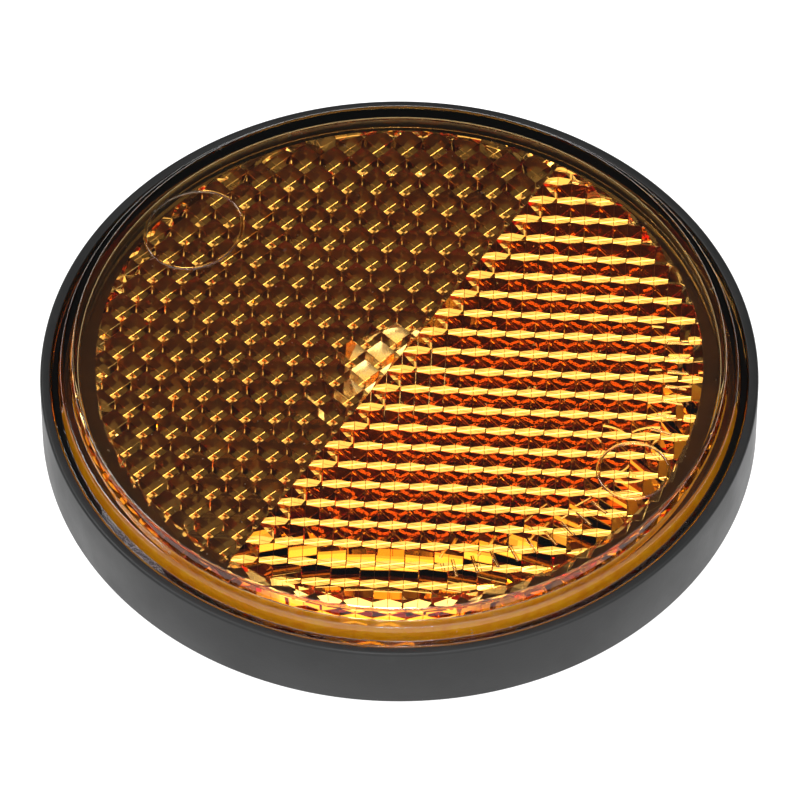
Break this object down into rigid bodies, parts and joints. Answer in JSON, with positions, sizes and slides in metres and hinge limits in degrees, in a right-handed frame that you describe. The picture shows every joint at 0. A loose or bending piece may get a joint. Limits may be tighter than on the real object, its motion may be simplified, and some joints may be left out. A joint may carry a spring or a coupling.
{
  "type": "round reflex reflector",
  "caption": "Round amber reflex reflector: a two-tier prismatic lens in a black cup housing, bolted through a panel by a captive hex screw with washers and nut.",
  "frame": {"origin": "on the mounting screw's axis, at the housing's flat back face, which lies against the panel", "axes": "+Z out of the panel along the screw's axis, through the lens; +Y along the line where the two halves of the prism field meet"},
  "size_m": [0.085, 0.085, 0.0362],
  "materials": {
    "housing_plastic": "satin black moulded ABS",
    "amber_lens": "clear amber acrylic, polished",
    "zinc_steel": "bright zinc plated steel",
    "spring_steel": "zinc plated spring steel"
  },
  "bodies": {
    "root": {"housing": "housing_plastic", "lens": "amber_lens", "mounting_screw": "zinc_steel"},
    "washers": {"plain_washer": "zinc_steel", "spring_washer": "spring_steel"},
    "nut": {"hex_nut": "zinc_steel"}
  },
  "joints": [
    {"name": "washers_slide", "type": "slide", "parent": "root", "child": "washers", "axis": [0, 0, -1], "range_m": [-0.0024, 0.016]},
    {"name": "nut_spin", "type": "hinge", "parent": "washers", "child": "nut", "pos_m": [0, 0, -0.00935], "axis": [0, 0, -1], "range_deg": [-690, 4608]}
  ],
  "couplings": [
    {"joint": "nut_spin", "follows": "washers_slide", "rad_per_m": 5026.5}
  ]
}
